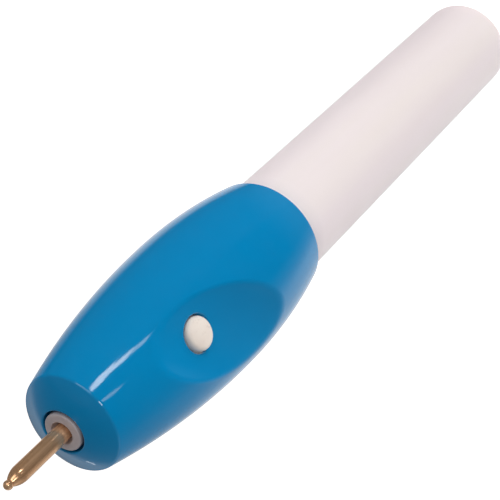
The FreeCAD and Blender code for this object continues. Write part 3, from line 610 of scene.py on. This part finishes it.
# bit: warm brushed alloy, drawn lines along the shank
shank = Mat("m_bit", Metallic=0.7)
drawn = shank.noise(2400.0, 2.0, 0.5, shank.stretch(1, 1, 0.02))
c = shank.ramp(shank.noise(380.0, 2.0, 0.5, shank.stretch(1, 1, 0.2)), (0.3, srgb(236, 186, 142)), (0.7, srgb(246, 204, 164)))
shank.color(shank.mix(shank.span(drawn, 0.0, 0.35, 0.4, 0.7), c, srgb(176, 124, 78)))
shank.rough(shank.span(shank.noise(900.0, 2.0, 0.5, shank.stretch(1, 1, 0.1)), 0.15, 0.22, 0.35, 0.65))
shank.bump(drawn, 0.05, 0.000002)
set_mat(bit, shank)

# carried-over parts, each slot with its own finish
library = {
    "black_plastic": plastic("m_black_plastic", srgb(22, 22, 24), srgb(34, 34, 36), 0.38, 0.55, 300.0, peel=0.3),
    "nylon_white": plastic("m_nylon", srgb(226, 222, 210), srgb(238, 235, 226), 0.42, 0.56, 300.0, peel=0.25),
    "nickel": metal("m_nickel", srgb(188, 184, 174), srgb(214, 211, 204), 0.18, 0.34),
    "motor_steel": metal("m_motor_steel", srgb(176, 176, 174), srgb(206, 206, 204), 0.26, 0.42, grain=(1, 1, 0.2)),
    "bronze": metal("m_bronze", srgb(150, 108, 64), srgb(178, 134, 84), 0.4, 0.58),
    "ferrite": plastic("m_ferrite", srgb(44, 44, 46), srgb(58, 58, 60), 0.6, 0.75, 500.0, peel=0.6),
    "copper": metal("m_copper", srgb(178, 96, 52), srgb(206, 122, 70), 0.24, 0.4, grain=(1, 1, 6.0)),
    "black_rubber": plastic("m_rubber", srgb(24, 24, 24), srgb(32, 32, 32), 0.75, 0.9, 300.0, peel=0.5),
    "phosphor_bronze": metal("m_leaf", srgb(196, 150, 96), srgb(216, 172, 116), 0.2, 0.34, grain=(1, 1, 0.1)),
    "lead_red": plastic("m_lead_red", srgb(176, 22, 20), srgb(196, 30, 26), 0.36, 0.48, 700.0),
    "lead_black": plastic("m_lead_black", srgb(20, 20, 20), srgb(30, 30, 30), 0.36, 0.48, 700.0),
    "lead_white": plastic("m_lead_white", srgb(226, 224, 216), srgb(238, 236, 230), 0.36, 0.48, 700.0),
    "shaft_steel": metal("m_shaft", srgb(190, 190, 190), srgb(218, 218, 218), 0.12, 0.22, rings=700.0, grain=(1, 1, 0.1)),
    "spring_steel": metal("m_spring", srgb(170, 170, 172), srgb(204, 204, 206), 0.2, 0.32),
}
cell = Mat("m_cell")
cz = cell.axis("Z")
period = cell.n("ShaderNodeMath", operation="SUBTRACT")
cell.link(cz, period.inputs[0])
period.inputs[1].default_value = 6.5 * MM
wrapm = cell.n("ShaderNodeMath", operation="MODULO")
cell.link(period.outputs[0], wrapm.inputs[0])
wrapm.inputs[1].default_value = 50.5 * MM
along = cell.span(wrapm.outputs[0], 0.0, 1.0, 0.0, 50.5 * MM)
band = cell.ramp(along, (0.0, srgb(186, 186, 182)), (0.012, srgb(26, 26, 28)), (0.70, srgb(26, 26, 28)), (0.71, srgb(178, 112, 58)),
                 (0.955, srgb(178, 112, 58)), (0.966, srgb(196, 196, 192)))
band.node.color_ramp.interpolation = "CONSTANT"
cell.color(cell.mix(cell.span(cell.noise(400.0, 4.0), 0.0, 0.25), band, srgb(90, 84, 78)))
cell.rough(cell.span(cell.noise(600.0, 4.0), 0.26, 0.4))
cell.p.inputs["Metallic"].default_value = 0.55
cell.bump(cell.noise(1800.0, 2.0), 0.12, 0.00001)
library["cell"] = cell

slot_of = {}
for part in frame["record"].get("materials", []):
    for node in part.get("nodes", []) or []:
        slot_of[node] = part.get("slot")
hidden = {"grip_shell", "push_button", "battery_tube", "chuck", "engraving_bit"}
for name, ob in frame["nodes"].items():
    if name in hidden:
        continue
    key = slot_of.get(name)
    if key is None and ob.data.materials and ob.data.materials[0]:
        key = ob.data.materials[0].name
    chosen = library.get(key) or next((library[k] for k in library if key and k in key), None)
    if chosen is None:
        raise RuntimeError("no finish for %s (%s)" % (name, key))
    if not ob.material_slots:
        ob.data.materials.append(chosen.m)
    for s in ob.material_slots:
        s.material = chosen.m

# ------------------------------------------------------------------ stage: pale floor, soft light, camera
fl = bpy.data.meshes.new("floor")
S = 3.0
fl.from_pydata([(-S, -S, 0), (S, -S, 0), (S, S, 0), (-S, S, 0)], [], [(0, 1, 2, 3)])
floor = bpy.data.objects.new("floor", fl)
scene.collection.objects.link(floor)
fm = Mat("m_floor", Roughness=0.9)
fm.p.inputs["Specular IOR Level"].default_value = 0.1
fm.color(fm.ramp(fm.noise(3.0, 2.0), (0.3, srgb(250, 250, 250)), (0.7, srgb(254, 254, 254))))
fm.p.inputs["Emission Color"].default_value = (1, 1, 1, 1)
fm.p.inputs["Emission Strength"].default_value = 0.78
set_mat(floor, fm)

floor.visible_glossy = False
world = bpy.data.worlds.new("studio")
world.use_nodes = True
wt = world.node_tree
bg = wt.nodes["Background"]
wc = wt.nodes.new("ShaderNodeTexCoord")
ws = wt.nodes.new("ShaderNodeSeparateXYZ")
wt.links.new(wc.outputs["Generated"], ws.inputs[0])


def wmath(op, a, b=None):
    nd = wt.nodes.new("ShaderNodeMath")
    nd.operation = op
    for k, v in enumerate((a, b)):
        if v is None:
            continue
        if isinstance(v, (int, float)):
            nd.inputs[k].default_value = v
        else:
            wt.links.new(v, nd.inputs[k])
    return nd.outputs[0]


# a white sweep behind the pen and a darker room in front of it, by compass direction
turn = wmath("ARCTAN2", wmath("MULTIPLY", ws.outputs["X"], -1.0), ws.outputs["Y"])
turn = wmath("ADD", wmath("DIVIDE", turn, 2 * math.pi), 0.5)


def wramp(fac, stops, lo, hi):
    """Grey levels along one measure, as a ramp from lo to hi."""
    nd = wt.nodes.new("ShaderNodeValToRGB")
    el = nd.color_ramp.elements
    while len(el) < len(stops):
        el.new(0.5)
    for e, (at, v) in zip(el, stops):
        e.position = (at - lo) / (hi - lo)
        e.color = (v, v, v, 1)
    wt.links.new(fac, nd.inputs["Fac"])
    return nd.outputs["Color"]


card = wramp(turn, [(-90, 0), (50, 0), (57, 0.12), (66, 0.6), (80, 0.85), (140, 0.85), (165, 0.8), (195, 0.78), (207, 0.5), (218, 0.24),
                    (230, 0.1), (239, 0.01), (245, 0), (270, 0)], -90, 270)
room = wramp(turn, [(-90, 0.02), (-50, 0.02), (-42, 0.06), (49, 0.06), (52, 0.0), (58, 0.0), (62, 0.02), (270, 0.02)], -90, 270)
height = wmath("ADD", wmath("MULTIPLY", ws.outputs["Z"], 0.5), 0.5)
gain = wramp(height, [(-1, 1.0), (-0.866, 1.0), (-0.643, 0.91), (-0.5, 0.5), (-0.27, 0.23), (-0.17, 0.4), (0, 0.62), (0.12, 0.88),
                      (0.2, 0.74), (0.32, 0.36), (0.6, 0.16), (0.93, 0.06), (1, 0.05)], -1, 1)
steep = wramp(height, [(-1, 0.15), (-0.93, 0.15), (-0.85, 0), (1, 0)], -1, 1)
upper = wramp(height, [(-1, 0), (0, 0), (0.35, 0.13), (1, 0.13)], -1, 1)
low = wmath("MULTIPLY", wmath("MULTIPLY", card, gain), 1.1)
rest = wmath("MULTIPLY", wmath("ADD", steep, upper), wmath("SUBTRACT", 1.0, card))
wt.links.new(wmath("ADD", wmath("ADD", low, room), rest), bg.inputs["Color"])
bg.inputs["Strength"].default_value = 1.0

# past the floor's far edge the backdrop itself is seen as pale as the floor; what it lights stays as above
seen = wt.nodes.new("ShaderNodeLightPath")
plain = wt.nodes.new("ShaderNodeBackground")
plain.inputs["Color"].default_value = (1, 1, 1, 1)
plain.inputs["Strength"].default_value = 1.0
either = wt.nodes.new("ShaderNodeMixShader")
wt.links.new(seen.outputs["Is Camera Ray"], either.inputs[0])
wt.links.new(bg.outputs[0], either.inputs[1])
wt.links.new(plain.outputs[0], either.inputs[2])
wt.links.new(either.outputs[0], wt.nodes["World Output"].inputs["Surface"])
scene.world = world


def area(name, loc, target, size, size_y, radiance, along=None, colour=(1, 1, 1)):
    """Rectangular light facing the target; its long side follows along when given."""
    li = bpy.data.lights.new(name, "AREA")
    li.shape = "RECTANGLE"
    li.size, li.size_y = size, size_y
    li.energy = radiance * math.pi * size * size_y
    li.color = colour
    ob = bpy.data.objects.new(name, li)
    z = (Vector(loc) - Vector(target)).normalized()
    y = Vector(along) if along else Vector((0, 0, 1))
    y = (y - z * y.dot(z)).normalized()
    x = y.cross(z)
    ob.matrix_world = Matrix([[x.x, y.x, z.x, loc[0]], [x.y, y.y, z.y, loc[1]], [x.z, y.z, z.z, loc[2]], [0, 0, 0, 1]])
    scene.collection.objects.link(ob)
    return ob


def strip(name, a, b, width, radiance, target=(0.002, -0.009, 0.15)):
    a, b = Vector(a), Vector(b)
    return area(name, (a + b) / 2, target, width, (a - b).length, radiance, along=(a - b))


mid = (0, 0, 0.12)
area("key", (0.64, -0.44, 0.57), mid, 0.5, 0.5, 2.5)
top = area("top", (0.0, 0.0, 1.3), mid, 0.6, 0.6, 1.35, along=(0, 1, 0))
top.visible_glossy = False
fill = area("fill", (-0.49, -0.85, 0.8), mid, 0.6, 0.6, 0.9)
fill.visible_glossy = False
strip("strip_long_a", (0.239, -0.263, 0.109), (0.2191, -0.2706, 0.0765), 0.058, 10.5)
strip("strip_long_b", (0.219, -0.2706, 0.0763), (0.2007, -0.2777, 0.0463), 0.032, 10.0)
strip("strip_fade", (0.2006, -0.2777, 0.0461), (0.184, -0.284, 0.019), 0.026, 4.5)
strip("strip_short", (0.083, -0.345, 0.113), (0.048, -0.349, 0.085), 0.02, 3.5)
# two small glints on the nose: one on its upper edge, one low on the dome
edge = area("glint_edge", (0.046, -0.262, 0.322), (0.0024, -0.0088, 0.1585), 0.045, 0.14, 10.0, along=(0, 0, 1))
edge.visible_diffuse = False
strip("glint_dome", (-0.2604, 0.2959, 0.2475), (-0.2841, 0.2794, 0.2284), 0.012, 3.5, target=(-0.0068, 0.0, 0.1598))

R = np.array([[-0.468716, -0.726695, -0.502215], [-0.848919, 0.213382, 0.483534], [-0.244218, 0.65298, -0.716921]])
C = (0.06366, -0.16951, 0.28811)
cam = bpy.data.cameras.new("camera")
cam.sensor_width = 36.0
cam.lens = 1383.88 / 500 * 36.0
cam.clip_start = 0.01
cam.clip_end = 20
co = bpy.data.objects.new("camera", cam)
M = (np.diag([1, -1, -1]) @ R).T
co.matrix_world = Matrix([[*M[0], C[0]], [*M[1], C[1]], [*M[2], C[2]], [0, 0, 0, 1]])
scene.collection.objects.link(co)
scene.camera = co

scene.view_settings.view_transform = "Standard"
scene.view_settings.look = "None"
scene.view_settings.exposure = 0.0
scene.view_settings.gamma = 1.0
